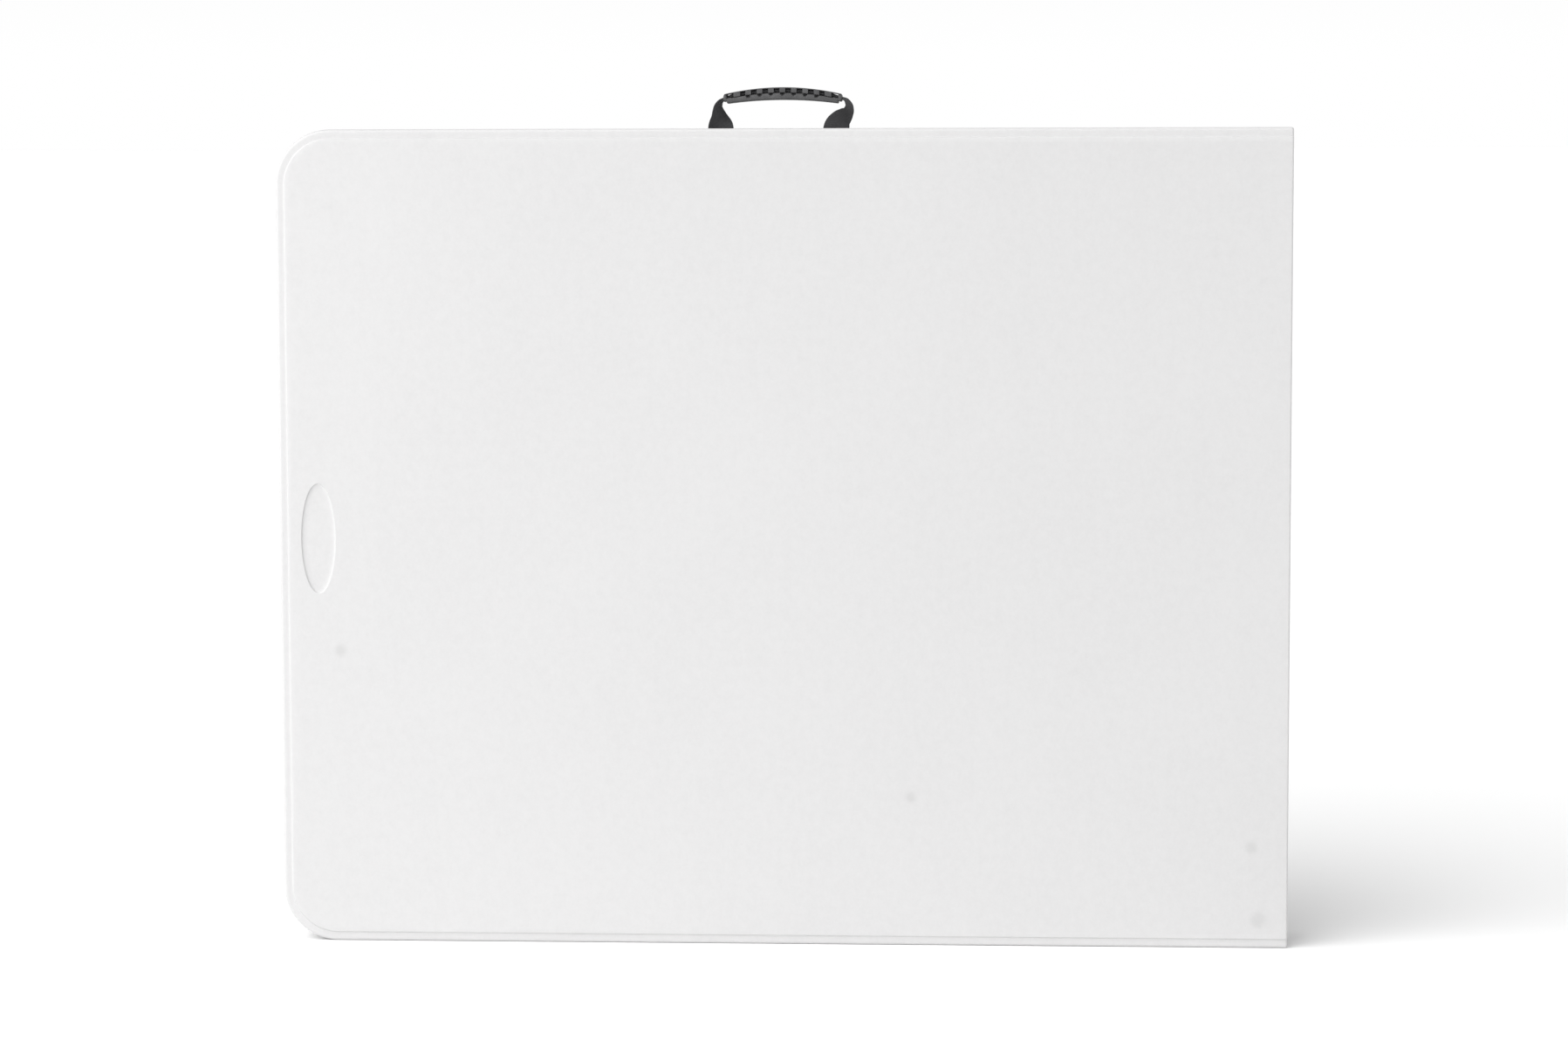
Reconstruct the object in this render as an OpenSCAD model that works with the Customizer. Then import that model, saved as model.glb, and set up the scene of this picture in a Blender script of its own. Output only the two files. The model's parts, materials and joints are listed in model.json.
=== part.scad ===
// Folding table that folds in half like a suitcase, shown folded and standing on its long edge.
// Each half is drawn in its own frame: X runs from the hinge end to the outer end, Y across
// the table, Z from the open rim up to the table's face. Millimetres and degrees throughout.

/* [Moulded tops] */
// Length of each half, which is the folded length
half_l = 915; // [800:5:1100]
// Width of the table, which is the height when folded
top_w = 740; // [660:5:900]
// Thickness of each half
half_t = 45; // [43:0.5:55]
// Radius of the table's outer corners
corner_r = 50; // [20:1:80]
// Thickness of the skirt around each half
skirt_t = 8; // [5:0.5:12]
// Thickness of the single skin over the side channels
skin_t = 6; // [4:0.5:7]
// Thickness of the double wall in the middle
core_t = 15; // [10:0.5:15]
// Width of the lowered border strip
border_w = 8; // [5:0.5:15]
// How far the border strip lies below the face
border_drop = 1.5; // [0.5:0.1:2]
// Space between the halves, both folded and open
half_gap = 1; // [0.6:0.1:1.5]

/* [Face recess] */
// Length of the oval recess near the outer end
recess_l = 100; // [60:1:160]
// Width of the oval recess
recess_w = 31; // [20:1:50]
// Depth of the oval recess
recess_depth = 1.5; // [0.5:0.1:2.5]
// Distance from the outer end to the middle of the recess
recess_inset = 36; // [30:1:80]

/* [Hinge] */
// Radius of the hinge pins
pin_r = 4; // [3:0.1:5]
// Thickness of the hinge links
link_t = 4; // [3:0.5:5]
// Thickness of the side rails
rail_t = 3; // [2:0.5:4]

/* [Legs] */
// Length of a leg from its pivot to the end of the tube
leg_l = 678; // [560:1:680]
// Radius of the leg tubes
leg_r = 10; // [8:0.5:10]
// Wall of the leg tubes
tube_wall = 1.4; // [1:0.1:2]
// Radius of the pivot tubes
pivot_r = 8; // [6:0.5:8]
// Distance from the outer end to the leg pivot
pivot_inset = 22; // [20:1:40]
// Height of the leg pivot above the rim
pivot_up = 14; // [12:0.5:16]
// Space between the folded feet and the skin above them
leg_clear = 1; // [0.5:0.5:4]
// Space between the front half's legs and the flange of the rails
leg_gap = 2.6; // [1.6:0.1:10]
// Space between the front half's and the rear half's legs
leg_pass = 12; // [4:1:30]
// Distance from the pivot to the cross tube
bar_s = 300; // [240:1:340]
// Radius of the cross tube
bar_r = 7; // [6:0.5:8]

/* [Braces] */
// Space between the solid bar at the hinge and the pivot of the stored shoe
shoe_room = 59; // [40:1:120]
// Radius of the brace rod
brace_r = 5; // [4:0.5:6]

/* [Handle] */
// Length of the grip
grip_l = 107; // [90:1:130]
// Thickness of the grip in its middle
grip_h = 11.5; // [10:0.5:14]
// Depth of the grip from face to face
grip_d = 24; // [18:1:28]
// Height of the grip's crown above the table's edge
grip_rise = 37; // [34:1:50]
// Width of the webbing
web_w = 25; // [20:1:30]
// Thickness of the webbing
web_t = 1.8; // [1.2:0.1:2]
// Distance between the middles of the two webbing ends
web_span = 105; // [96:1:114]
// How far the webbing lies towards the outer end from the grip's middle
web_shift = 4; // [0:0.5:8]

/* [Hidden] */
$fn = 48;
hair = 0.02;                                    // keeps cutters from sharing a face
fit = 0.05;                                     // radial clearance of a running fit
free = 0.5;                                     // clearance beside a part that moves
g = half_gap / 2;                               // rim and hinge end stand back by this much
half_w = top_w / 2;
pin_up = half_t / 2;                            // hinge pins lie at half thickness
pin_in = pin_up - g;                            // and this far in from the hinge end
roll_r = pin_in - g;                            // rounded lower edge at the hinge end
channel_up = half_t - skin_t;                   // ceiling of the side channels
core_up = half_t - core_t;                      // ceiling of the middle
inside_y = half_w - skirt_t;                    // inner face of the long skirts
inside_x = half_l - skirt_t;                    // inner face of the end skirt
hinge_bar_x = pin_in + 12;                      // solid bar along the hinge end reaches this far
hinge_x = (half_l + g) / 2;                     // hinge end in the table's own frame

leg_x = half_l - pivot_inset;
rail_low = 3;                                   // lower edge of the rails
rail_past = 3;                                  // steel left round the leg pivot's hole
rail_end = leg_x + pivot_r + rail_past;
rail_out = 1;                                   // rail ends clear of the rounded corners
corner_in = max(corner_r - skirt_t, 1);         // inner radius of the outer corners
corner_run = max(rail_end - (half_l - corner_r), 0);
// The rails stand as far out as the rounded corner lets their ends stand
rail_y = half_w - corner_r + sqrt(max(corner_in * corner_in - corner_run * corner_run, 0)) - rail_t - rail_out;
flange_w = 15;                                  // rail flange that is screwed up
flange_t = 2.5;
rail_nose_r = 11;                               // round end of a rail about its pin
link_y = rail_y - free - link_t;                // inner face of the links
link_r = 10;
notch_free = 5;                                 // room beside links and rails in the hinge bar
notch_y = link_y - notch_free;
notch_w = rail_y + rail_t + notch_free - notch_y;
pin_head_t = 2;
pin_head_r = 6;

screw_r = 2;
screw_head_r = 4;
screw_head_t = 1.6;
screw_bite = 4;                                 // screw length inside the plastic
rail_screws = [for (i = [0:4]) hinge_bar_x + 50 + i * (rail_end - hinge_bar_x - 150) / 4];

foot_grow = 1;                                  // wall of the rubber feet
foot_l = 25;
foot_pad = 3;                                   // rubber under the end of the tube
front_leg_y = rail_y - flange_w - leg_gap - leg_r;
rear_leg_y = front_leg_y - 2 * leg_r - leg_pass;
channel_y = rear_leg_y - leg_r - 12;            // side channels start here
// The folded legs lean into their half until the feet come close to the skin
leg_lean = asin((channel_up - leg_clear - leg_r - foot_grow - pivot_up) / leg_l);

// Foot of the brace: on the cross tube, first stored and then standing
bar_x0 = leg_x - bar_s * cos(leg_lean);
bar_up0 = pivot_up + bar_s * sin(leg_lean);
bar_up1 = pivot_up - bar_s;
eye_r = bar_r + 3.5;
eye_w = 14;
shoe_up = 24;                                   // height of the sliding shoe's pivot
shoe_x0 = hinge_bar_x + shoe_room;
brace_l = sqrt(pow(bar_x0 - shoe_x0, 2) + pow(shoe_up - bar_up0, 2));
brace_a0 = asin((shoe_up - bar_up0) / brace_l); // brace angle when stored
brace_a1 = asin((shoe_up - bar_up1) / brace_l); // and when standing
shoe_x1 = leg_x - brace_l * cos(brace_a1);
tab_t = 5;
tab_r = 7;
tab_l = 48;                                     // flattened end of the brace rod
shoe_pin_r = 3;                                 // hole for the shoe's pin
cheek_t = 2.5;
shoe_l = 26;
track_t = 2;
track_in = tab_t / 2 + free + cheek_t + free;   // inner face of the track's sides
track_low = 12;
track_x0 = shoe_x0 - 22;
track_x1 = shoe_x1 + 30;
track_screws = [track_x0 + 10, (track_x0 + track_x1) / 2, track_x1 - 10];
groove_up = half_t - 9;                         // ceiling of the brace groove
track_flange = 10;
groove_half = track_in + track_t + track_flange + 2;

catch_x = leg_x - 60;                           // catch between pivot tube and cross tube
catch_ys = [-120, 120];
catch_w = 22;
catch_low = 3;                                  // lower end of the sockets
catch_free = 1.2;                               // room round the stud
stud_r = 5;
stud_neck_r = 3;
stud_base_r = 8;
stud_base_low = 10;                             // thick part of the stud ends here
stud_reach = 8;                                 // neck reaches this far past the rims
stud_pocket = 14;                               // depth of the pocket in the socket

web_low = 22;                                   // webbing held inside the skirt, above its lower end
web_swing_z = 2;                                // handle turns this far above the table's edge
grip_sag = 6.2;                                 // ends of the grip lie lower than its crown
under_sag = 3.8;                                // and the underside is a flatter arch
grip_pitch = grip_l / 10.4;                     // spacing of the windows
web_xs = [for (s = [-1, 1]) s * web_span / 2 - web_shift];
web_mid = web_t / 2 + free;                     // webbing lies this far in front of the middle
anchor_t = 2.5;
anchor_side = 7;                                // anchor screws stand beside the webbing
anchor_edge = 8;                                // plate round each screw

// ---- places of the two halves ----

// Front half: its face looks towards -Y of the table's own frame
module front_half() {
    multmatrix([[-1, 0, 0, hinge_x], [0, 0, -1, 0], [0, -1, 0, half_w], [0, 0, 0, 1]]) children();
}

// Rear half: the front half turned over about the folded table's middle
module rear_half() {
    multmatrix([[-1, 0, 0, hinge_x], [0, 0, 1, 0], [0, 1, 0, half_w], [0, 0, 0, 1]]) children();
}

// Things that lie along the leg: +X here runs from the pivot to the foot
module on_leg() {
    translate([leg_x, 0, pivot_up]) rotate([0, leg_lean, 0]) rotate([0, 0, 180]) children();
}

// A round bar along Y, centred
module bar_y(r, l) {
    rotate([90, 0, 0]) cylinder(r = r, h = l, center = true);
}

// ---- moulded tops ----

// Plan of a half, pulled in by a margin and starting at x0 from the hinge
module plan(margin, x0) {
    r = max(corner_r - margin, 1);
    l = half_l - margin;
    w = half_w - margin;
    translate([x0, -w]) square([l - r - x0, 2 * w]);
    translate([l - r - hair, -(w - r)]) square([r + hair, 2 * (w - r)]);
    for (s = [-1, 1]) translate([l - r, s * (w - r)]) circle(r, $fn = 96);
}

// The open space below the face: middle, side channels, end channel and brace groove
module underside() {
    translate([0, 0, -1]) linear_extrude(core_up + 1) plan(skirt_t, hinge_bar_x);
    intersection() {
        translate([0, 0, -1]) linear_extrude(channel_up + 1) plan(skirt_t, hinge_bar_x);
        union() {
            for (s = [-1, 1])
                translate([0, s > 0 ? channel_y : -half_w, -1])
                    cube([half_l, half_w - channel_y, half_t]);
            translate([leg_x - pivot_r - 18, -half_w, -1]) cube([half_l, top_w, half_t]);
        }
    }
    translate([track_x0 - 3, -groove_half, -1])
        cube([bar_x0 + eye_r + 6 - track_x0, 2 * groove_half, groove_up + 1]);
}

// What the rolled lower edge at the hinge end leaves out
module hinge_roll() {
    difference() {
        translate([-1, -half_w - 1, -1]) cube([pin_in + 1, top_w + 2, pin_up + 1]);
        translate([pin_in, 0, pin_up]) bar_y(roll_r, top_w + 4);
    }
}

module top_blank() {
    difference() {
        union() {
            translate([0, 0, g]) linear_extrude(half_t - border_drop - g) plan(0, g);
            translate([0, 0, half_t / 2]) linear_extrude(half_t / 2) plan(border_w, g);
        }
        underside();
        hinge_roll();
        for (s = [-1, 1])
            translate([-1, s > 0 ? notch_y : -notch_y - notch_w, -1])
                cube([hinge_bar_x + 2, notch_w, pin_up + rail_nose_r + 4]);
        // oval recess in the face
        translate([half_l - recess_inset, 0, half_t - recess_depth])
            linear_extrude(recess_depth + 1)
                polygon([for (a = [0:6:354]) [recess_w / 2 * cos(a), recess_l / 2 * sin(a)]]);
        // screw holes for rails and track
        for (x = rail_screws, s = [-1, 1])
            translate([x, s * (rail_y - flange_w / 2), channel_up - 1]) cylinder(r = screw_r, h = screw_bite + 1);
        for (x = track_screws, s = [-1, 1])
            translate([x, s * (track_in + track_t + track_flange / 2), groove_up - 1])
                cylinder(r = screw_r, h = screw_bite + 1);
    }
}

module front_top() {
    color("gainsboro") front_half() difference() {
        top_blank();
        // way out for the two ends of the webbing, and holes for the anchor's screws
        for (x = web_xs)
            translate([hinge_x - x - web_w / 2 - 1, -half_w - 1, -1])
                cube([web_w + 2, skirt_t + 2, web_t + 1 + 2 * free]);
        for (x = anchor_screw_xs)
            translate([x, -inside_y, anchor_screw_up]) rotate([90, 0, 0])
                translate([0, 0, -1]) cylinder(r = screw_r, h = screw_bite + 1);
        for (y = catch_ys)
            translate([catch_x, y, core_up - 1]) cylinder(r = screw_r, h = screw_bite + 1);
    }
}

module rear_top() {
    color("gainsboro") rear_half() difference() {
        top_blank();
        for (y = catch_ys)
            translate([catch_x, y, core_up - 1]) cylinder(r = screw_r, h = screw_bite + 1);
    }
}

// ---- side rails with the hinge pins' and leg pivots' holes ----

module rail() {
    difference() {
        union() {
            translate([pin_in, rail_y, pin_up - rail_nose_r])
                cube([30, rail_t, 2 * rail_nose_r]);
            translate([pin_in, rail_y + rail_t / 2, pin_up]) bar_y(rail_nose_r, rail_t);
            translate([hinge_bar_x + 6, rail_y, rail_low])
                cube([rail_end - hinge_bar_x - 6, rail_t, channel_up - rail_low]);
            translate([hinge_bar_x + 6, rail_y - flange_w + hair, channel_up - flange_t])
                cube([rail_end - corner_r - hinge_bar_x - 6, flange_w, flange_t]);
        }
        translate([pin_in, rail_y, pin_up]) bar_y(pin_r + fit, 4 * rail_t);
        translate([leg_x, rail_y, pivot_up]) bar_y(pivot_r + fit, 4 * rail_t);
        for (x = rail_screws)
            translate([x, rail_y - flange_w / 2, channel_up - flange_t - 1])
                cylinder(r = screw_r, h = flange_t + 2);
    }
}

module front_rail(side) { color("dimgray") front_half() scale([1, side, 1]) rail(); }
module rear_rail(side) { color("dimgray") rear_half() scale([1, side, 1]) rail(); }

module rail_screw_set() {
    for (x = rail_screws, s = [-1, 1])
        translate([x, s * (rail_y - flange_w / 2), channel_up - flange_t]) {
            translate([0, 0, -screw_head_t]) cylinder(r = screw_head_r, h = screw_head_t);
            cylinder(r = screw_r, h = flange_t + screw_bite);
        }
}

module front_rail_screws() { color("silver") front_half() rail_screw_set(); }
module rear_rail_screws() { color("silver") rear_half() rail_screw_set(); }

// ---- hinge links between the two halves ----

// One flat link, drawn in the table's own frame, for the side with this sign
module hinge_link(side) {
    color("dimgray")
        translate([hinge_x - pin_in, 0, half_w + side * (link_y + link_t / 2)])
            difference() {
                union() {
                    for (s = [-1, 1]) translate([0, s * pin_up, 0])
                        cylinder(r = link_r, h = link_t, center = true);
                    cube([2 * link_r, 2 * pin_up, link_t], center = true);
                }
                for (s = [-1, 1]) translate([0, s * pin_up, 0])
                    cylinder(r = pin_r, h = 3 * link_t, center = true);
            }
}

module hinge_pins() {
    pin_l = link_t + free + rail_t + free;
    color("silver")
        for (side = [-1, 1], s = [-1, 1])
            translate([hinge_x - pin_in, s * pin_up, half_w]) scale([1, 1, side]) {
                translate([0, 0, link_y]) cylinder(r = pin_r, h = pin_l);
                translate([0, 0, link_y - pin_head_t]) cylinder(r = pin_head_r, h = pin_head_t);
                translate([0, 0, link_y + pin_l]) cylinder(r = pin_head_r, h = pin_head_t);
            }
}

// ---- legs ----

module leg_frame(y) {
    on_leg() difference() {
        union() {
            bar_y(pivot_r, 2 * (rail_y + rail_t + 2));
            for (s = [-1, 1]) translate([0, s * y, 0]) rotate([0, 90, 0]) cylinder(r = leg_r, h = leg_l);
            for (s = [-1, 1]) translate([0, s * y, 0]) bar_y(leg_r, 2 * leg_r);
            translate([bar_s, 0, 0]) bar_y(bar_r, 2 * y);
        }
        for (s = [-1, 1])
            translate([leg_l / 2, s * y, 0]) rotate([0, 90, 0]) cylinder(r = leg_r - tube_wall, h = leg_l);
    }
}

module feet(y) {
    on_leg() for (s = [-1, 1]) translate([leg_l + foot_pad, s * y, 0]) rotate([0, -90, 0])
        difference() {
            cylinder(r = leg_r + foot_grow, h = foot_l);
            translate([0, 0, foot_pad]) cylinder(r = leg_r, h = foot_l);
        }
}

module front_leg_frame() { color("dimgray") front_half() leg_frame(front_leg_y); }
module rear_leg_frame() { color("dimgray") rear_half() leg_frame(rear_leg_y); }
module front_feet() { color("black") front_half() feet(front_leg_y); }
module rear_feet() { color("black") rear_half() feet(rear_leg_y); }

// ---- braces: a rod on the cross tube whose other end slides in a track ----

module brace() {
    translate([bar_x0, 0, bar_up0]) rotate([0, brace_a0, 0]) rotate([0, 0, 180])
        difference() {
            union() {
                bar_y(eye_r, eye_w);
                rotate([0, 90, 0]) cylinder(r = brace_r, h = brace_l - tab_l);
                translate([brace_l - tab_l - 2, -tab_t / 2, -brace_r]) cube([tab_l + 2, tab_t, 2 * brace_r]);
                translate([brace_l, 0, 0]) bar_y(tab_r, tab_t);
            }
            bar_y(bar_r + fit, 2 * eye_w);
            translate([brace_l, 0, 0]) bar_y(shoe_pin_r, 3 * tab_t);
        }
}

// The shoe straddles the brace's end; its cheeks stop short of the brace's eye
module brace_shoe() {
    translate([shoe_x0, 0, shoe_up]) {
        for (s = [-1, 1]) translate([0, s * (tab_t / 2 + free + cheek_t / 2), 0])
            cube([shoe_l, cheek_t, 14], center = true);
        translate([-shoe_l / 2, -tab_t / 2 - free - cheek_t, 7.8])
            cube([shoe_l, 2 * (tab_t / 2 + free + cheek_t), 2]);
        for (s = [-1, 1]) translate([0, s * (tab_t / 2 + free + cheek_t / 2), 7])
            cube([shoe_l, cheek_t, 1.7], center = true);
    }
}

module brace_track() {
    difference() {
        for (s = [-1, 1]) scale([1, s, 1]) {
            translate([track_x0, track_in, track_low]) cube([track_x1 - track_x0, track_t, groove_up - track_low]);
            translate([track_x0, track_in + track_t - hair, groove_up - track_t])
                cube([track_x1 - track_x0, track_flange, track_t]);
        }
        for (x = track_screws, s = [-1, 1])
            translate([x, s * (track_in + track_t + track_flange / 2), groove_up - 2 * track_t])
                cylinder(r = screw_r, h = 3 * track_t);
    }
}

module track_screw_set() {
    for (x = track_screws, s = [-1, 1])
        translate([x, s * (track_in + track_t + track_flange / 2), groove_up - track_t]) {
            translate([0, 0, -screw_head_t]) cylinder(r = screw_head_r, h = screw_head_t);
            cylinder(r = screw_r, h = track_t + screw_bite);
        }
}

module front_brace() { color("silver") front_half() brace(); }
module rear_brace() { color("silver") rear_half() brace(); }
module front_brace_shoe() { color("black") front_half() brace_shoe(); }
module rear_brace_shoe() { color("black") rear_half() brace_shoe(); }
module front_brace_track() { color("dimgray") front_half() brace_track(); }
module rear_brace_track() { color("dimgray") rear_half() brace_track(); }
module front_track_screws() { color("silver") front_half() track_screw_set(); }
module rear_track_screws() { color("silver") rear_half() track_screw_set(); }

// ---- catch that keeps the halves shut ----

module catch_sockets() {
    color("black") front_half() for (y = catch_ys) translate([catch_x, y, 0]) {
        difference() {
            translate([-catch_w / 2, -catch_w / 2, catch_low]) cube([catch_w, catch_w, core_up - catch_low]);
            translate([0, 0, -1]) cylinder(r = stud_neck_r + catch_free, h = stud_reach + 2);
            translate([0, 0, stud_reach]) cylinder(r = stud_r + catch_free, h = stud_pocket);
        }
        translate([0, 0, core_up - hair]) cylinder(r = screw_r, h = screw_bite);
    }
}

module catch_studs() {
    color("black") rear_half() for (y = catch_ys) translate([catch_x, y, 0]) {
        translate([0, 0, stud_base_low]) cylinder(r = stud_base_r, h = core_up - stud_base_low);
        translate([0, 0, core_up - hair]) cylinder(r = screw_r, h = screw_bite);
        translate([0, 0, -stud_reach - 2]) cylinder(r = stud_neck_r, h = stud_base_low + stud_reach + 4);
    }
}

// ---- carrying handle ----

anchor_screw_xs = [for (s = [-1, 1]) hinge_x + web_shift + s * (web_span / 2 + web_w / 2 + anchor_side)];
anchor_screw_up = 14;

// Webbing inside the front half, from the anchor up to the table's edge
module webbing_root() {
    color("black")
        for (x = web_xs)
            translate([x - web_w / 2, -web_t - free, top_w - skirt_t - web_low])
                cube([web_w, web_t, skirt_t + web_low + 0.6]);
}

// Moving part of the webbing: rises from the edge and turns flat into the grip
module handle_webbing() {
    color("black")
        for (s = [0, 1])
            hull() {
                translate([web_xs[s] - web_w / 2, -web_t / 2 - web_mid, top_w + web_swing_z])
                    cube([web_w, web_t, 1]);
                translate([(2 * s - 1) * (grip_l / 2 + 3.5) - 3, -web_w / 3 - web_mid, grip_low(grip_l / 2) - 4])
                    cube([6, web_w / 1.5, 4]);
            }
}

// The grip's outline from the front: a shallow arch, thicker in the middle, with a row of windows
function grip_top(x) = top_w + grip_rise - grip_sag * pow(2 * x / grip_l, 2);
function grip_low(x) = top_w + grip_rise - grip_h - under_sag * pow(2 * x / grip_l, 2);

module grip_outline() {
    xs = [for (i = [-12:12]) i * grip_l / 24];
    difference() {
        polygon(concat([for (x = xs) [x, grip_top(x)]], [for (i = [24:-1:0]) [xs[i], grip_low(xs[i])]]));
        for (i = [-3.5:1:3.5])
            translate([i * grip_pitch, grip_top(i * grip_pitch) - 2.8]) square([5.4, 3.4], center = true);
    }
}

module handle_grip() {
    color([0.29, 0.29, 0.3])
        translate([0, grip_d / 2 - web_mid, 0]) rotate([90, 0, 0]) linear_extrude(grip_d) grip_outline();
}

module webbing_anchor() {
    color("silver") front_half() difference() {
        translate([anchor_screw_xs[0] - anchor_edge, -inside_y, web_t + free + 1])
            cube([anchor_screw_xs[1] - anchor_screw_xs[0] + 2 * anchor_edge, anchor_t,
                  anchor_screw_up + anchor_edge - web_t - free]);
        for (x = anchor_screw_xs)
            translate([x, -inside_y, anchor_screw_up]) bar_y(screw_r, 4 * anchor_t);
    }
}

module anchor_screws() {
    color("silver") front_half() for (x = anchor_screw_xs)
        translate([x, -inside_y + anchor_t, anchor_screw_up]) rotate([90, 0, 0]) {
            translate([0, 0, -screw_head_t]) cylinder(r = screw_head_r, h = screw_head_t);
            cylinder(r = screw_r, h = anchor_t + screw_bite);
        }
}

front_top();
rear_top();
front_rail(-1);  // front_rail_upper
front_rail(1);  // front_rail_lower
rear_rail(1);  // rear_rail_upper
rear_rail(-1);  // rear_rail_lower
hinge_link(1);  // hinge_link_upper
hinge_link(-1);  // hinge_link_lower
hinge_pins();
front_leg_frame();
rear_leg_frame();
front_feet();
rear_feet();
front_brace();
rear_brace();
front_brace_shoe();
rear_brace_shoe();
front_brace_track();
rear_brace_track();
front_rail_screws();
rear_rail_screws();
front_track_screws();
rear_track_screws();
catch_sockets();
catch_studs();
handle_grip();
handle_webbing();
webbing_root();
webbing_anchor();
anchor_screws();
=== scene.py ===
# A folding table, folded shut and standing on its long edge with its handle up.
# The settings of the tops, the grip and the webbing are in millimetres, and mm turns them into metres.
# Those of the finishes, the lights and the camera are in metres.
import json
import math

import bmesh
import bpy
import numpy as np
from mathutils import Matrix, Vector
from mathutils.geometry import tessellate_polygon


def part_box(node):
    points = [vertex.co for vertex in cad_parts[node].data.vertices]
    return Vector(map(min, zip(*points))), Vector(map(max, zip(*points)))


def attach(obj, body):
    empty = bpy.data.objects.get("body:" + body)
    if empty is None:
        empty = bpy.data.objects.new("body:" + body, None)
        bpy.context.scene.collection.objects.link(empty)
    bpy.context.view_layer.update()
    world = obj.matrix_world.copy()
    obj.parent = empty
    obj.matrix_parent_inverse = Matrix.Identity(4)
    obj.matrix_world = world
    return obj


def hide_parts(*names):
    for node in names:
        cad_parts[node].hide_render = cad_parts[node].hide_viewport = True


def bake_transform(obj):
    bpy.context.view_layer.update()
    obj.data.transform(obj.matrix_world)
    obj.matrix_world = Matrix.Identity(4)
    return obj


mm = 0.001
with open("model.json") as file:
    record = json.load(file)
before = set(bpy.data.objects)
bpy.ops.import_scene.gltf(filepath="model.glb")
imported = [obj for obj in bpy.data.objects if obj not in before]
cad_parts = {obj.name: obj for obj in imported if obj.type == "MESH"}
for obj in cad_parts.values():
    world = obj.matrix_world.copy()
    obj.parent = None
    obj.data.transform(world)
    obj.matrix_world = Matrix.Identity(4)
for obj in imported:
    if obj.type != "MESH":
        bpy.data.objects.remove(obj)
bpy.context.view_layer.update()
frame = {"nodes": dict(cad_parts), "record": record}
print("frame loaded:", len(frame["nodes"]), "nodes")


def gridFaces(rows, columns, wrapColumns=False):
    # quads between neighbouring points of a rows x columns grid, numbered row by row
    r = np.arange(rows - 1)
    c = np.arange(columns if wrapColumns else columns - 1)
    r, c = (a.ravel() for a in np.meshgrid(r, c, indexing="ij"))
    rNext = r + 1
    cNext = (c + 1) % columns
    quads = [r * columns + c, r * columns + cNext, rNext * columns + cNext, rNext * columns + c]
    return np.stack(quads, 1)


def joinParts(parts):
    # parts are (points, faces) pairs; returns one list of points and one of faces
    points = []
    faces = []
    count = 0
    for partPoints, partFaces in parts:
        points.append(np.asarray(partPoints, float).reshape(-1, 3))
        faces += [tuple(int(i) + count for i in face) for face in partFaces]
        count += len(points[-1])
    return np.concatenate(points), faces


def makePiece(name, parts, body, finish, sharpAngle=38):
    # one mesh from shells that are each closed, with doubles merged and faces turned outwards
    points, faces = joinParts(parts)
    mesh = bpy.data.meshes.new(name)
    mesh.from_pydata(points.tolist(), [], faces)
    work = bmesh.new()
    work.from_mesh(mesh)
    bmesh.ops.remove_doubles(work, verts=work.verts, dist=2e-6)
    bmesh.ops.dissolve_degenerate(work, edges=work.edges, dist=1e-6)
    bmesh.ops.recalc_face_normals(work, faces=work.faces)
    work.to_mesh(mesh)
    work.free()
    mesh.shade_smooth()
    mesh.set_sharp_from_angle(angle=math.radians(sharpAngle))
    piece = bpy.data.objects.new(name, mesh)
    bpy.context.scene.collection.objects.link(piece)
    mesh.materials.append(finish)
    if body:
        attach(piece, body)
    return piece


def smooth(t):
    # 0 below 0, 1 above 1, an S curve between
    t = np.clip(t, 0, 1)
    return t * t * (3 - 2 * t)


class Value:
    # a socket whose arithmetic adds Math nodes
    def __init__(self, finish, socket):
        self.finish = finish
        self.socket = socket

    def combine(self, operation, first, second=None):
        given = [first] if second is None else [first, second]
        return self.finish.node("ShaderNodeMath", {"operation": operation}, dict(enumerate(given)))

    def __add__(self, other):
        return self.combine("ADD", self, other)

    def __radd__(self, other):
        return self.combine("ADD", other, self)

    def __sub__(self, other):
        return self.combine("SUBTRACT", self, other)

    def __rsub__(self, other):
        return self.combine("SUBTRACT", other, self)

    def __mul__(self, other):
        return self.combine("MULTIPLY", self, other)

    def __rmul__(self, other):
        return self.combine("MULTIPLY", other, self)

    def __pow__(self, other):
        return self.combine("POWER", self, other)

    def between(self, low, high):
        # 0 at low, 1 at high, smooth between
        settings = {"interpolation_type": "SMOOTHSTEP"}
        values = {"Value": self, "From Min": low, "From Max": high}
        return self.finish.node("ShaderNodeMapRange", settings, values)


class NodeSet:
    # a node tree, and the one way that nodes are added to it
    def __init__(self, tree):
        self.tree = tree

    def node(self, kind, settings=None, values=None, output=0):
        made = self.tree.nodes.new(kind)
        for name, setting in (settings or {}).items():
            setattr(made, name, setting)
        for name, value in (values or {}).items():
            self.feed(made.inputs[name], value)
        return Value(self, made.outputs[output])

    def feed(self, socket, value):
        if isinstance(value, Value):
            self.tree.links.new(value.socket, socket)
        else:
            socket.default_value = value


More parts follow.
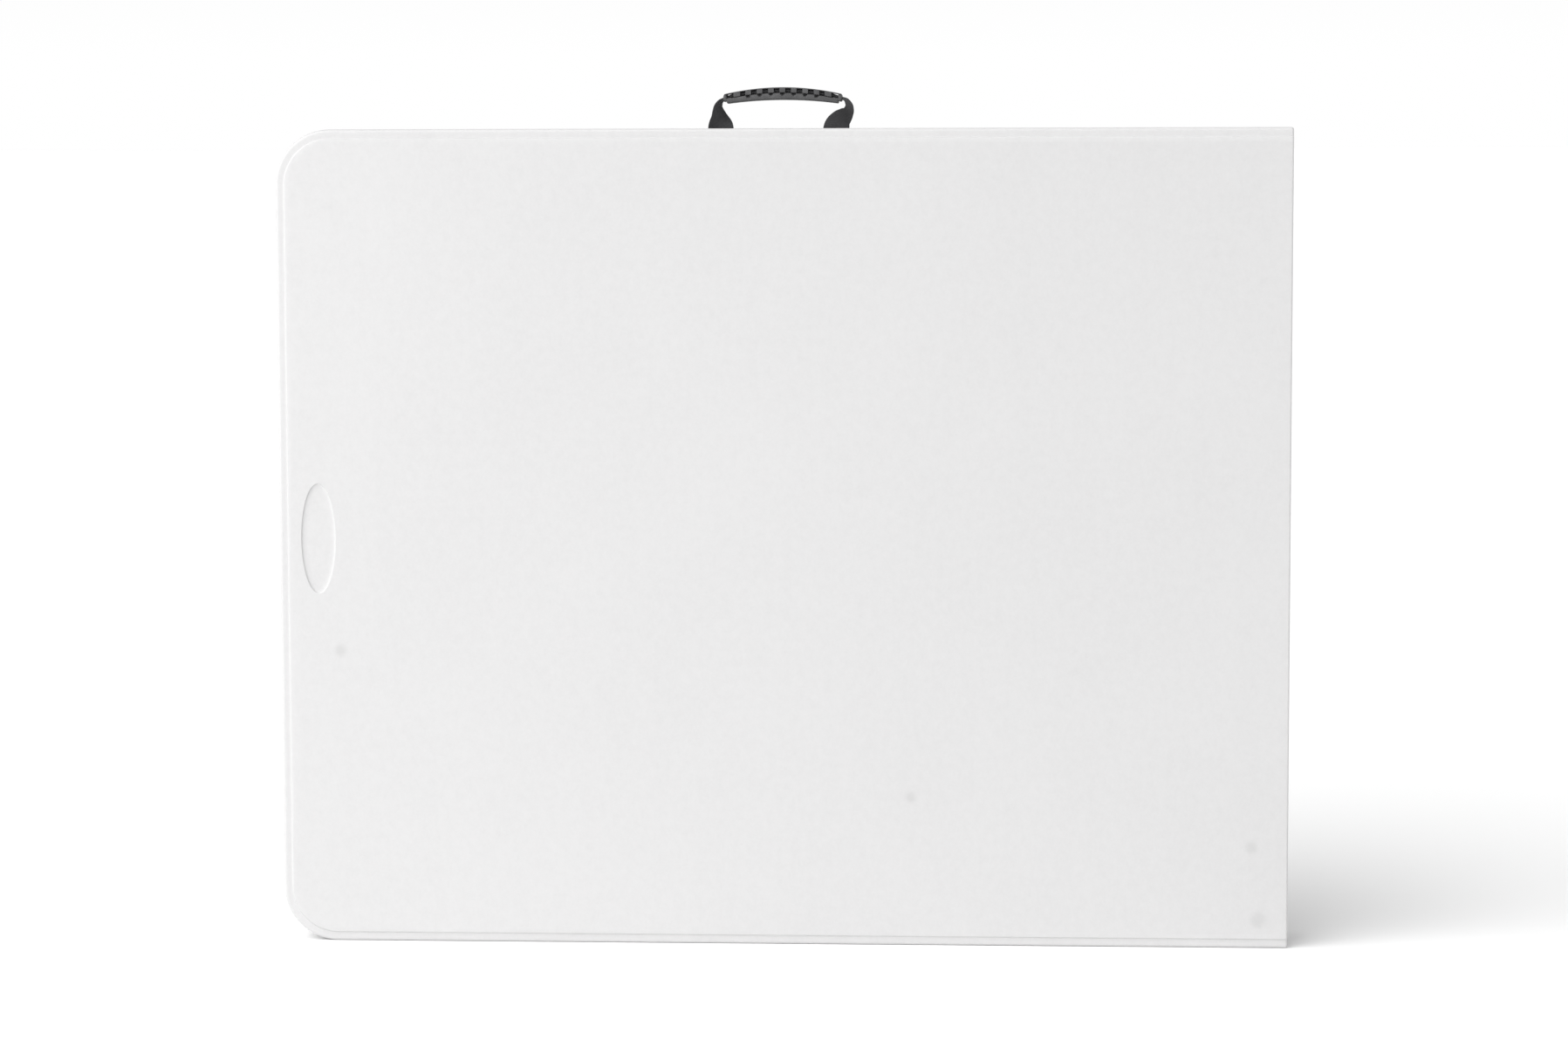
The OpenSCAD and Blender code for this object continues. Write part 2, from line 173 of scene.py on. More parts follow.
class Finish(NodeSet):
    # one material: its nodes, its coordinates and its surface
    def __init__(self, name):
        self.material = bpy.data.materials.new(name)
        self.material.use_nodes = True
        super().__init__(self.material.node_tree)
        self.surface = self.tree.nodes["Principled BSDF"]
        self.place = self.node("ShaderNodeTexCoord", output="Object")
        self.uv = self.node("ShaderNodeTexCoord", output="UV")

    def noise(self, scale, detail, roughness, at=None):
        values = {"Vector": at or self.place, "Scale": scale, "Detail": detail, "Roughness": roughness}
        return self.node("ShaderNodeTexNoise", {}, values)

    def mix(self, share, first, second):
        values = {0: share, 6: first, 7: second}
        return self.node("ShaderNodeMix", {"data_type": "RGBA"}, values, output=2)

    def part(self, axis, at=None):
        return self.node("ShaderNodeSeparateXYZ", {}, {0: at or self.place}, output="XYZ".index(axis))

    def bump(self, height, distance, strength, after=None):
        values = {"Height": height, "Distance": distance, "Strength": strength}
        if after is not None:
            values["Normal"] = after
        return self.node("ShaderNodeBump", {}, values)

    def set(self, **values):
        for name, value in values.items():
            self.feed(self.surface.inputs[name.replace("_", " ")], value)
        return self.material


def grey(level):
    return (level, level, level, 1)


# pebble and speck are cells a metre; marks are rubbed spots: place along the front face, height, size
plasticLook = {
    "colour": (0.608, 0.605, 0.606, 1), "shade": (0.558, 0.555, 0.557, 1), "pebble": 750.0, "grain": 0.00006,
    "marks": [(0.431, 0.026, 0.009), (0.117, 0.136, 0.006), (0.424, 0.092, 0.007), (-0.402, 0.268, 0.007)],
    "markFace": (-0.0440, -0.0425), "speck": 38.0,
}


def whitePlastic():
    # pebbled moulding grain, faint flow streaks, a few dark specks and the rubbed marks
    f = Finish("whitePlastic")
    cloud = f.noise(3.2, 4, 0.6)
    streaks = f.node("ShaderNodeMapping", {}, {"Vector": f.place, "Scale": (55, 55, 4)})
    flow = f.noise(1.0, 3, 0.55, at=streaks)
    mottle = f.noise(130, 4, 0.65)
    rubbed = f.noise(14, 5, 0.7).between(0.62, 0.80) * 0.5
    speck = f.node("ShaderNodeTexVoronoi", {}, {"Vector": f.place, "Scale": plasticLook["speck"]})
    seeds = f.node("ShaderNodeTexVoronoi", {}, {"Vector": f.place, "Scale": plasticLook["speck"]},
                   output="Color")
    rare = f.part("X", seeds).between(0.90, 0.93)
    speckMask = (1 - speck.between(0.015, 0.035)) * rare
    share = cloud * 0.30 + flow * 0.06 + mottle * 0.36 + f.noise(420, 3, 0.6) * 0.26 + rubbed * 0.3
    base = f.mix(share.between(0.30, 0.80), plasticLook["colour"], plasticLook["shade"])
    x, y, z = (f.part(axis) for axis in "XYZ")
    ragged = f.noise(260, 3, 0.6)
    stain = 0.0
    for markX, markZ, size in plasticLook["marks"]:
        away = ((x - markX) ** 2 + (z - markZ) ** 2) ** 0.5
        stain = stain + (1 - (away * (1 / size) + ragged).between(0.7, 1.7))
    stain = stain * (1 - y.between(*plasticLook["markFace"]))
    marked = f.mix(stain * 0.30, base, grey(0.40))
    colour = f.mix(speckMask * 0.35, marked, grey(0.45))
    pebbles = f.node("ShaderNodeTexVoronoi", {"feature": "SMOOTH_F1"},
                     {"Vector": f.place, "Scale": plasticLook["pebble"], "Smoothness": 0.6})
    fine = f.noise(1500, 2, 0.6)
    height = pebbles * 0.7 + fine * 0.5
    wave = f.bump(f.noise(9, 2, 0.4), 0.0012, 0.35)
    normal = f.bump(height, plasticLook["grain"], 0.55, after=wave)
    rough = f.noise(60, 3, 0.5) * 0.12 + 0.40 + rubbed * 0.08
    return f.set(Base_Color=colour, Roughness=rough, Normal=normal)


def powderSteel():
    # grey powder coat: fine orange peel, slightly darker in patches, chipped to a duller grey here and there
    f = Finish("powderSteel")
    patch = f.noise(18, 4, 0.6)
    chips = f.noise(240, 3, 0.6).between(0.70, 0.74)
    colour = f.mix(patch.between(0.3, 0.7), (0.150, 0.155, 0.162, 1), (0.185, 0.19, 0.198, 1))
    worn = f.mix(chips * 0.5, colour, grey(0.32))
    peel = f.bump(f.noise(900, 2, 0.5), 0.00008, 0.6)
    return f.set(Base_Color=worn, Roughness=patch * 0.12 + 0.38 + chips * 0.1, Normal=peel, Metallic=0.25)


def zincSteel():
    # bright zinc plate with spangle patches and fine drawn lines
    f = Finish("zincSteel")
    spangle = f.node("ShaderNodeTexVoronoi", {}, {"Vector": f.place, "Scale": 210.0}, output=1)
    tone = f.part("X", spangle)
    cloud = f.noise(70, 4, 0.6)
    drawn = f.node("ShaderNodeMapping", {}, {"Vector": f.place, "Scale": (60, 1800, 1800)})
    lines = f.noise(1.0, 2, 0.5, at=drawn)
    colour = f.mix(tone * 0.5 + cloud * 0.5, (0.52, 0.53, 0.55, 1), (0.68, 0.685, 0.69, 1))
    return f.set(Base_Color=colour, Roughness=0.24 + cloud * 0.16 + lines * 0.08, Metallic=1.0,
                 Normal=f.bump(lines, 0.00003, 0.5))


def darkMoulded(name, light, dark, grain, rough):
    # dark moulded plastic or rubber: spark-eroded grain and a little dust in the low places
    f = Finish(name)
    dust = f.noise(90, 5, 0.65)
    colour = f.mix(dust.between(0.35, 0.75), dark, light)
    height = f.noise(grain, 3, 0.6) + f.noise(grain * 0.3, 2, 0.5) * 0.6
    return f.set(Base_Color=colour, Roughness=dust * 0.14 + rough, Normal=f.bump(height, 0.00007, 0.7))


webLook = {"yarn": 0.0016, "rib": 0.0023}


def blackWebbing():
    # plain-woven yarns: two crossed sets of round yarns, each over where the other is under
    f = Finish("blackWebbing")
    turns = 2 * math.pi / webLook["yarn"]
    across = f.part("X", f.uv)
    along = f.part("Y", f.uv)
    warp = f.node("ShaderNodeMath", {"operation": "SINE"}, {0: (across + along * 0.5) * turns})
    weft = f.node("ShaderNodeMath", {"operation": "SINE"}, {0: (across * 0.5 - along) * turns})
    yarn = warp * weft * 0.5 + 0.5
    fuzz = f.noise(2600, 3, 0.7)
    worn = f.noise(120, 4, 0.6)
    # the colour follows the yarn height: lighter on the crests and darker in the hollows between the yarns,
    # which is painted highlight and painted shade of the weave; the worn noise adds real wear
    colour = f.mix(yarn * 0.7 + worn * 0.3, (0.014, 0.014, 0.015, 1), (0.075, 0.075, 0.079, 1))
    height = yarn + fuzz * 0.35
    return f.set(Base_Color=colour, Roughness=0.72 + fuzz * 0.2, Normal=f.bump(height, 0.00035, 0.9))


whiteFinish = whitePlastic()
steelFinish = powderSteel()
zincFinish = zincSteel()
rubberFinish = darkMoulded("blackRubber", (0.055, 0.055, 0.055, 1), (0.028, 0.028, 0.028, 1), 1100.0, 0.58)
blackFinish = darkMoulded("blackPlastic", (0.06, 0.06, 0.064, 1), (0.03, 0.03, 0.033, 1), 1500.0, 0.42)
gripFinish = darkMoulded("greyGrip", (0.085, 0.085, 0.087, 1), (0.055, 0.055, 0.057, 1), 1300.0, 0.55)
webFinish = blackWebbing()
slotFinish = {
    "white_hdpe": whiteFinish, "grey_steel": steelFinish, "bright_steel": zincFinish,
    "black_rubber": rubberFinish, "black_plastic": blackFinish, "grey_plastic": gripFinish,
    "black_webbing": webFinish,
}
nodeSlot = {row["node"]: row["material_slot"] for row in frame["record"]["subparts"]}
for nodeName, node in frame["nodes"].items():
    node.data.materials.clear()
    node.data.materials.append(slotFinish[nodeSlot[nodeName]])
print("finishes made")


# Each half has its own frame: u from the hinge end, w across, v up from the open rim to the face.

top = {
    "thick": 45.0, "gap": 0.5, "corner": 50.0, "skirt": 8.0, "skin": 6.0, "core": 15.0,
    "stepOut": 7.6, "stepIn": 9.1, "drop": 1.5, "edgeRound": 3.2, "rimRound": 2.2, "endRound": 2.0,
    "foot": 3.0, "field": 13.0, "ring": 40.0, "bar": 34.0, "notch": (322.0, 340.0),
    "channel": 250.0, "endChannel": 867.0, "groove": (68.0, 612.0, 20.0),
    "slabStart": 33.5, "slabRound": 3.0, "sunkIn": 0.3, "borderEnd": 5.5, "ringIn": 25.0,
}
recess = {"width": 31.0, "length": 100.0, "inset": 36.0, "depth": 1.5}
web = {
    "width": 25.0, "thick": 1.8, "mid": -1.4, "inGrip": 17.0, "filled": 3.6, "places": (-56.5, 48.5),
    "slot": 27.0, "slotDeep": 3.3, "underTop": 3.0,
}
pits = {
    "pitch": 58.0, "radius": 13.0, "depth": 8.0, "spacing": 3.2, "floor": 3, "endClear": 20, "sideClear": 18,
}

low, high = (np.array(corner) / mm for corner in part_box("front_top"))
hingeX = high[0] + top["gap"]
halfLength = hingeX - low[0]
halfWidth = (high[2] - low[2]) / 2
pinUp = top["thick"] / 2
pinIn = pinUp - top["gap"]
rollR = pinIn - top["gap"]


def placeHalf(points, half):
    # from a half's own frame to the table's, in metres; the rear half is the front one turned over
    u, w, v = np.asarray(points, float).reshape(-1, 3).T
    sign = -1 if half == "front" else 1
    return np.stack([hingeX - u, sign * v, halfWidth + sign * w], 1) * mm


def arc(count, start=0.0, end=90.0):
    angle = np.radians(np.linspace(start, end, count))
    return np.sin(angle), np.cos(angle)


def rollLow(u):
    # lower edge of a half near the hinge: a quarter round about the pin, then the rim
    x = np.clip((pinIn - u) / rollR, 0, 0.9995)
    return pinUp - (pinUp - top["gap"]) * np.sqrt(1 - x * x)


def topColumns():
    # the outline as centres and outward directions: side, corner, outer end, corner, side
    c = arc(7)[1]
    first = top["gap"] + top["endRound"] * (1 - c)
    reach = math.degrees(math.acos((pinIn - first[-1]) / rollR))
    c2 = arc(16, reach, 90)[1]
    straightEnd = halfLength - top["corner"]
    slots = [hingeX - x + side * (web["slot"] / 2 + edge)
             for x in web["places"] for side in (-1, 1) for edge in (-0.05, 0.05)]
    straight = np.sort(np.concatenate([np.linspace(pinIn, straightEnd, 30)[1:], slots]))
    u = np.concatenate([first, (pinIn - rollR * c2)[1:], straight])
    inner = halfWidth - top["corner"]
    side = np.stack([u, np.full_like(u, -inner), np.zeros_like(u), -np.ones_like(u)], 1)
    s, c = arc(25)
    corner = np.stack([np.full_like(s, straightEnd), np.full_like(s, -inner), s, -c], 1)[1:]
    w = np.linspace(-inner, 0, 10)[1:]
    end = np.stack([np.full_like(w, straightEnd), w, np.ones_like(w), np.zeros_like(w)], 1)
    half = np.concatenate([side, corner, end])
    other = half[:-1][::-1] * np.array([1, -1, 1, -1])
    return np.concatenate([half, other]), len(first)


def topProfile():
    # from the face over the step, the border, the side, the rim and the skirt to the ceiling: margin, height
    full = top["thick"]
    border = full - top["drop"]
    step = np.linspace(0, 1, 11)
    stepM = top["stepIn"] + (top["stepOut"] - top["stepIn"]) * step
    s, c = arc(9)
    edge = top["edgeRound"]
    rim = top["rimRound"]
    ceiling = full - top["skin"]
    foot = top["foot"]
    skirt = top["skirt"]
    margin = [[top["field"]], stepM, [top["borderEnd"]], edge * (1 - s), [0, 0, 0, 0],
              rim * (1 - c[::2]), skirt - rim * (1 - s[::2]), [skirt, skirt, skirt],
              skirt + foot * (1 - c[::2]), [top["ringIn"], top["ring"]]]
    height = [[full], full - top["drop"] * smooth(step), [border], border - edge * (1 - c),
              [36, 30, pinUp, 8],
              top["gap"] + rim * (1 - s[::2]), top["gap"] + rim * (1 - c[::2]), [10, pinUp, 32],
              ceiling - foot * (1 - s[::2]), [ceiling, ceiling]]
    return np.concatenate(margin), np.concatenate(height)


def topShell(half):
    # every profile point is carried round the outline: centre + (corner radius - margin) * direction
    columns, roundCount = topColumns()
    margin, height = topProfile()
    cu, cw, du, dw = (columns[:, k][:, None] for k in range(4))
    sunk = top["endRound"]
    fromEnd = np.clip(cu - top["gap"], 0, sunk)
    drop = np.where(du == 0, sunk - np.sqrt(sunk ** 2 - (sunk - fromEnd) ** 2), 0)
    m = margin[None, :] + drop * np.clip(1 - margin[None, :] / top["skirt"], 0, 1)
    reach = top["corner"] - m
    u = cu + reach * du
    w = cw + reach * dw
    lowEdge = np.where(du == 0, rollLow(cu), top["gap"])
    v = height[None, :] - drop * np.clip((height[None, :] - 39.5) / 3, 0, 1)
    share = (v - top["gap"]) / (pinUp - top["gap"])
    v = np.where(v < pinUp, lowEdge + share * (pinUp - lowEdge), v + 0 * lowEdge)
    if half == "front":
        # the rim is cut back where the two ends of the webbing come out
        away = np.min([np.abs(cu - hingeX + x) for x in web["places"]], 0)
        v = np.where((dw == -1) & (away < web["slot"] / 2), np.maximum(v, web["slotDeep"]), v)
    grid = np.stack([u, w, v], 2)
    rows, count = grid.shape[:2]
    flat = grid.reshape(-1, 3)
    index = np.arange(rows * count).reshape(rows, count)
    faces = list(gridFaces(rows, count))
    for i in range(roundCount - 1):
        faces.append((index[i, 0], index[i + 1, 0], index[rows - 2 - i, 0], index[rows - 1 - i, 0]))
    faces.append(tuple(index[:, -1]))
    faces += [tuple(index[0]), tuple(index[-1])]
    faces.append((index[0, 0], index[-1, 0], index[-1, -1], index[0, -1]))

    # the face inside the first ring, with the oval recess let into it
    outerIndex = index[roundCount - 1:rows - roundCount + 1, 0]
    turn = np.linspace(0, 2 * math.pi, 96, endpoint=False)
    inward = np.array([-4, -1.2, -0.5, -0.15, 0, 0.2, 0.6, 1.2, 2.2, 3.6, 5.5, 7])
    depth = np.array([0, 0, 0, 0.05, 0.16, 0.38, 0.58, 0.72, 0.85, 0.94, 1, 1]) * recess["depth"]
    ru = recess["width"] / 2 - inward[:, None]
    rw = recess["length"] / 2 - inward[:, None]
    ovalU = halfLength - recess["inset"] + ru * np.cos(turn)
    ovalW = rw * np.sin(turn)
    ovalV = np.repeat((top["thick"] - depth)[:, None], len(turn), 1)
    oval = np.stack([ovalU, ovalW, ovalV], 2)
    ovalFaces = gridFaces(len(inward), len(turn), wrapColumns=True) + len(flat)
    faces += list(ovalFaces)
    faces.append(tuple(len(flat) + (len(inward) - 1) * len(turn) + np.arange(len(turn))))
    loops = [[Vector(p) for p in flat[outerIndex]], [Vector(p) for p in oval[0]]]
    lookup = np.concatenate([outerIndex, len(flat) + np.arange(len(turn))])
    faces += [tuple(lookup[list(t)]) for t in tessellate_polygon(loops)]
    return np.concatenate([flat, oval.reshape(-1, 3)]), faces


def hingeBar(w0, w1):
    # the solid bar along the hinge end: a quarter-round outline drawn out along w
    x = np.linspace(top["gap"] + 0.03, pinIn, 20)
    up = top["thick"] - top["skin"] + top["sunkIn"]
    u = np.concatenate([[top["bar"], x[0]], x, [top["bar"] - 2, top["bar"] - 0.6, top["bar"]]])
    v = np.concatenate([[up, up], rollLow(x), [top["gap"], top["gap"] + 0.6, top["gap"] + 2]])
    ends = np.array([w0, w0 + 0.5, w1 - 0.5, w1])
    shrink = np.array([0.4, 0, 0, 0.4])[:, None] * np.where(v < pinUp, 1, 0)[None, :]
    grid = np.stack([u + 0 * shrink, np.repeat(ends[:, None], len(u), 1), v + shrink], 2)
    count = len(u)
    faces = list(gridFaces(4, count, wrapColumns=True))
    faces += [tuple(range(count)), tuple(range(3 * count, 4 * count))]
    return grid, faces


def coreSlab(u0, u1, w0, w1, withPits):
    # the double wall's lower skin: a rounded slab with a staggered field of tack-off pits
    r = top["slabRound"]
    s = arc(6)[0]
    lead = r * (1 - s)[::-1]

    def lines(a, b):
        step = pits["spacing"] if withPits else 12
        inner = np.linspace(a + r, b - r, max(int((b - a) / step), 3))[1:-1]
        return np.concatenate([[a], a + lead, inner, b - lead[::-1], [b]])

    u = lines(u0, u1)
    w = lines(w0, w1)
    gu, gw = np.meshgrid(u, w, indexing="ij")
    lowest = top["thick"] - top["core"]
    eu = np.minimum(np.minimum(gu - u0, u1 - gu), r)
    ew = np.minimum(np.minimum(gw - w0, w1 - gw), r)
    lift = r - np.sqrt(np.clip(r * r - (r - eu) ** 2, 0, None))
    lift = np.maximum(lift, r - np.sqrt(np.clip(r * r - (r - ew) ** 2, 0, None)))
    v = lowest + lift
    if withPits:
        p = pits["pitch"]
        row = np.round((gw - w0 - p / 2) / (p * 0.5))
        centreW = w0 + p / 2 + row * p * 0.5
        shift = np.where(row % 2 == 0, 0, p / 2)
        centreU = u0 + p / 2 + shift + np.round((gu - u0 - p / 2 - shift) / p) * p
        away = np.hypot(gu - centreU, gw - centreW)
        endClear = pits["endClear"]
        sideClear = pits["sideClear"]
        inside = (centreU > u0 + endClear) & (centreU < u1 - endClear)
        inside &= (centreW > w0 + sideClear) & (centreW < w1 - sideClear)
        slope = (away - pits["floor"]) / (pits["radius"] - pits["floor"])
        v = v + np.where(inside, pits["depth"] * (1 - smooth(slope)), 0)
    v[[0, -1], :] = top["thick"] - top["skin"] + top["sunkIn"]
    v[:, [0, -1]] = top["thick"] - top["skin"] + top["sunkIn"]
    grid = np.stack([gu, gw, v], 2)
    rows, count = gu.shape
    index = np.arange(rows * count).reshape(rows, count)
    edge = np.concatenate([index[0, :-1], index[:-1, -1], index[-1, :0:-1], index[:0:-1, 0]])
    return grid, list(gridFaces(rows, count)) + [tuple(edge)]


def mouldedTop(half):
    n0, n1 = top["notch"]
    g0, g1, gw = top["groove"]
    ch = top["channel"]
    inner = halfWidth - top["skirt"] - 0.05
    endU = top["endChannel"]
    start = top["slabStart"]
    slabs = [(start, endU, gw, ch, True), (start, endU, -ch, -gw, True),
             (start, g0, -gw, gw, False), (g1, endU, -gw, gw, False)]
    parts = [topShell(half)]
    parts += [hingeBar(a, b) for a, b in ((-n0, n0), (n1, inner), (-inner, -n1))]
    parts += [coreSlab(*slab) for slab in slabs]
    placed = [(placeHalf(points, half), faces) for points, faces in parts]
    body = half + "_half"
    piece = makePiece(half + "TopShell", placed, body, whiteFinish, 50)
    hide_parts(half + "_top")


for halfName in ("front", "rear"):
    mouldedTop(halfName)
print("moulded tops made")


grip = {
    "length": 107.0, "rise": 37.0, "thick": 11.5, "sag": 6.2, "underSag": 3.8, "deep": 24.0,
    "pitch": 10.3, "rib": 5.1, "rim": 1.3, "windowLow": 4.7, "end": 3.2,
}
edgeZ = 2 * halfWidth


def gripTop(x):
    return edgeZ + grip["rise"] - grip["sag"] * (2 * x / grip["length"]) ** 2


def gripLow(x):
    return edgeZ + grip["rise"] - grip["thick"] - grip["underSag"] * (2 * x / grip["length"]) ** 2


def gripBar(x0, x1, upper, lower, deep, count, power, endRound, holes=()):
    # a superellipse section carried along the arch, between two depths below the crown line, its ends
    # rounded; a lower depth of 0 or less is taken up from the underside; holes dent the two long faces
    s, c = arc(6)
    lead = endRound * (1 - s)[::-1]
    x = np.concatenate([x0 + lead, np.linspace(x0 + endRound, x1 - endRound, count)[1:-1], x1 - lead[::-1]])
    pull = np.concatenate([endRound * (1 - c)[::-1], np.zeros(count - 2), endRound * (1 - c)])
    turn = np.linspace(0, 2 * math.pi, 64, endpoint=False)
    a = np.sign(np.cos(turn)) * np.abs(np.cos(turn)) ** (2 / power)
    b = np.sign(np.sin(turn)) * np.abs(np.sin(turn)) ** (2 / power)
    topZ = gripTop(x) - upper
    lowZ = gripTop(x) - lower if lower > 0 else gripLow(x) - lower
    halfZ = np.maximum((topZ - lowZ) / 2 - pull, 0.05)
    halfY = np.maximum(deep / 2 - pull, 0.05)
    z = ((topZ + lowZ) / 2)[:, None] + halfZ[:, None] * b[None, :]
    y = halfY[:, None] * a[None, :]
    for hx, hDown, hw, hh, hDeep in holes:
        far = np.sqrt(((x[:, None] - hx) / hw) ** 2 + ((z - gripTop(hx) + hDown) / hh) ** 2)
        dent = hDeep * (1 - smooth((far - 0.55) / 0.6))
        y = y - np.sign(y) * np.minimum(dent, np.abs(y)) * (np.abs(a)[None, :] > 0.6)
    grid = np.stack([np.repeat(x[:, None], len(turn), 1), y + web["mid"], z], 2) * mm
    n = len(turn)
    faces = list(gridFaces(len(x), n, wrapColumns=True))
    faces += [tuple(range(n)), tuple(range((len(x) - 1) * n, len(x) * n))]
    return grid, faces


def handleGrip():
    half = grip["length"] / 2
    p = grip["pitch"]
    below = grip["windowLow"]
    lens = [(i * p, below + 1.3, 2.1, 0.9, 3.5) for i in range(-3, 4)]
    parts = [gripBar(-half + 3.2, half - 3.2, below, -0.0001, grip["deep"], 300, 5.0, 1.2, lens)]
    parts.append(gripBar(-half + 0.8, half - 0.8, 0, grip["rim"], grip["deep"] - 0.6, 60, 3.0, 0.5))
    for i in range(-4, 5):
        wide = grip["rib"] if abs(i) < 4 else grip["rib"] + 1.0
        a = i * p - wide / 2
        b = i * p + wide / 2
        parts.append(gripBar(a, b, 0.4, below + 0.3, grip["deep"] - 0.3, 6, 10.0, 0.3))
    for side in (-1, 1):
        a, b = sorted((side * (half - grip["end"]), side * half))
        parts.append(gripBar(a, b, 0.05, below + 2.6, grip["deep"] - 0.4, 6, 4.0, 1.5))
        a, b = sorted((side * (half - 8), side * (half - 0.9)))
        parts.append(gripBar(a, b, below - 0.5, below + 2.4, grip["deep"] - 0.4, 8, 4.0, 1.2))
    piece = makePiece("handleGripShell", parts, "handle", gripFinish, 42)
    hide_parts("handle_grip")


def handleWebbing():
    # one band: its middle line, its turn about that line and its width run through chosen stations
    thin = web["thick"]
    inside = [(x, gripTop(x) - web["underTop"], 90, web["inGrip"], web["filled"])
              for x in (-44, -30, -15, 0, 15, 30, 44)]
    left, right = web["places"]
    wide = web["width"]
    # place along the table, height, turn, width, thickness
    stations = [
        (left, edgeZ - 29, 0, wide, thin), (left, edgeZ - 12, 0, wide, thin),
        (left, edgeZ - 1, 0, 23.5, thin), (-56.6, edgeZ + 1.5, 1, 23, thin),
        (-57.0, edgeZ + 4.5, 14, 22, thin), (-57.5, edgeZ + 8, 32, 21, thin),
        (-58.0, edgeZ + 11.5, 51, 20.5, thin), (-58.8, edgeZ + 16, 63, 20, thin),
        (-59.0, edgeZ + 20, 72, 19, thin), (-56.8, edgeZ + 24.6, 82, 18.5, thin),
        (-51.0, edgeZ + 28.0, 90, 17, thin)] + inside + [
        (51.0, edgeZ + 28.2, 90, 17, thin), (57.4, edgeZ + 25.6, 98, 18.5, thin),
        (60.0, edgeZ + 20.5, 107, 19, thin), (59.4, edgeZ + 16, 117, 19.5, thin),
        (56.2, edgeZ + 12, 139, 19, thin), (52.6, edgeZ + 8.5, 153, 20.5, thin),
        (50.0, edgeZ + 4.5, 170, 22.5, thin), (48.8, edgeZ + 1.5, 179, 24, thin),
        (right, edgeZ - 1, 180, wide, thin), (right, edgeZ - 12, 180, wide, thin),
        (right, edgeZ - 29, 180, wide, thin)]
    keys = np.array(stations, float)
    step = np.hypot(*np.diff(keys[:, :2], axis=0).T)
    at = np.concatenate([[0], np.cumsum(step)])
    t = np.linspace(0, at[-1], 420)
    line = np.stack([np.interp(t, at, keys[:, k]) for k in range(5)], 1)
    kernel = np.hanning(13)
    kernel /= kernel.sum()
    padded = np.pad(line, ((6, 6), (0, 0)), mode="edge")
    padded[:6] = line[0] + (line[1] - line[0]) * np.arange(-6, 0)[:, None]
    padded[-6:] = line[-1] + (line[-1] - line[-2]) * np.arange(1, 7)[:, None]
    line = np.stack([np.convolve(padded[:, k], kernel, mode="valid") for k in range(5)], 1)
    tangent = np.gradient(line[:, :2], axis=0)
    tangent /= np.hypot(*tangent.T)[:, None]
    # in the handle's plane the band's flat direction is square to its line, turned about it by the angle
    normal = np.stack([tangent[:, 1], -tangent[:, 0]], 1)
    angle = np.radians(line[:, 2])
    flat = np.stack([normal[:, 0] * np.cos(angle), np.sin(angle), normal[:, 1] * np.cos(angle)], 1)
    along = np.stack([tangent[:, 0], np.zeros(len(t)), tangent[:, 1]], 1)
    out = np.cross(along, flat)
    turn = np.linspace(0, 2 * math.pi, 40, endpoint=False)
    a = np.sign(np.cos(turn)) * np.abs(np.cos(turn)) ** 0.35
    b = np.sign(np.sin(turn)) * np.abs(np.sin(turn)) ** 0.6
    centre = np.stack([line[:, 0], np.full(len(t), web["mid"]), line[:, 1]], 1)
    halfW = line[:, 3] / 2
    grid = (centre[:, None, :] + flat[:, None, :] * (halfW[:, None] * a[None, :])[:, :, None]
            + out[:, None, :] * (line[:, 4][:, None] / 2 * b[None, :])[:, :, None]) * mm
    n = len(turn)
    faces = list(gridFaces(len(t), n, wrapColumns=True))
    faces += [tuple(range(n)), tuple(range((len(t) - 1) * n, len(t) * n))]
    piece = makePiece("handleWebbingBand", [(grid, faces)], None, webFinish, 70)
    layer = piece.data.uv_layers.new(name="weave")
    loopVertex = np.zeros(len(piece.data.loops), int)
    piece.data.loops.foreach_get("vertex_index", loopVertex)
    across = (halfW[:, None] * a[None, :]).ravel() * mm
    length = np.repeat(t * mm, n)
    layer.data.foreach_set("uv", np.stack([across[loopVertex], length[loopVertex]], 1).ravel())
    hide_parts("handle_webbing", "webbing_root")
    (edgeZ + 0.5) * mm
    (edgeZ + 9) * mm
    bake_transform(piece)


handleGrip()
handleWebbing()
print("handle made")


studio = {"floor": 0.96, "reach": 300.0, "horizon": 1.0, "zenith": 0.58, "skyFrom": 0.02, "skyTurn": 0.45}
camera = {
    "place": (0.221, -3.8, 0.730), "yaw": -3.332, "pitch": -5.241, "roll": -0.14, "lens": 96.13, "sensor": 36,
}
sunLight = {"from": (-0.5, -0.5, 0.71), "strength": 2.3, "softness": 60}
sideLight = {"place": (-2.3, -1.7, 0.7), "aim": (-0.3, 0, 0.4), "size": 1.4, "power": 14}


def pointAt(thing, place, aim):
    thing.location = place
    thing.rotation_euler = (Vector(aim) - Vector(place)).to_track_quat("-Z", "Y").to_euler()


